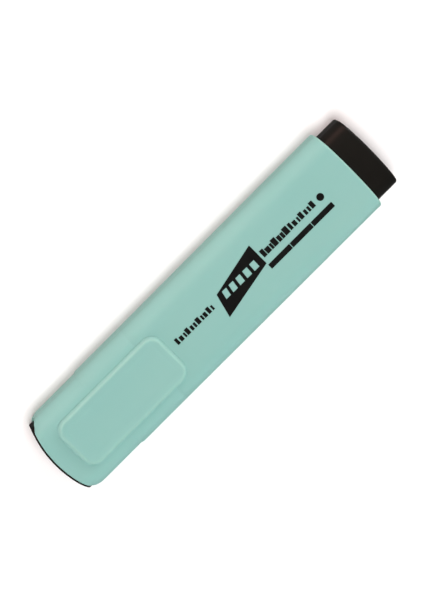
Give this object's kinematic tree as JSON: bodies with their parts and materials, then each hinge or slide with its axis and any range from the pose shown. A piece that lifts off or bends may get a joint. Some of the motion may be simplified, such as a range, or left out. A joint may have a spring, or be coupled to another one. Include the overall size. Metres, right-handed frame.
{
  "type": "highlighter",
  "caption": "Flat-bodied highlighter pen with a pull-off cap, a pad-shaped clip, a chisel fibre tip and a pressed-in end plug.",
  "frame": {"origin": "middle of the capped pen, on the plane of its flat back", "axes": "+X along the pen from the cap end to the rear plug, +Y across its width, +Z out of the front face"},
  "size_m": [0.1224, 0.027, 0.0173],
  "materials": {
    "mint_plastic": "satin moulded polypropylene, pastel mint",
    "black_plastic": "semi-gloss moulded polypropylene, black",
    "natural_plastic": "natural milky polyethylene",
    "nib_fibre": "bonded polyester fibre, wet with mint ink",
    "filler_fibre": "loose bonded fibre bundle, soaked with mint ink",
    "film": "thin clear film"
  },
  "bodies": {
    "pen": {"barrel": "mint_plastic", "rear_plug": "black_plastic", "nib_section": "black_plastic", "nib": "nib_fibre", "ink_reservoir": "filler_fibre", "reservoir_film": "film"},
    "cap": {"cap_shell": "mint_plastic", "cap_end_insert": "black_plastic", "inner_cap": "natural_plastic"},
    "clip_arm": {"clip": "mint_plastic"}
  },
  "joints": [
    {"name": "cap_pull", "type": "slide", "parent": "pen", "child": "cap", "axis": [-1, 0, 0], "range_m": [0, 0.06]},
    {"name": "clip_flex", "type": "hinge", "parent": "cap", "child": "clip_arm", "pos_m": [-0.0541, 0, 0.0163], "axis": [0, -1, 0], "range_deg": [0, 6], "stiffness_Nm_per_rad": 0.1}
  ]
}
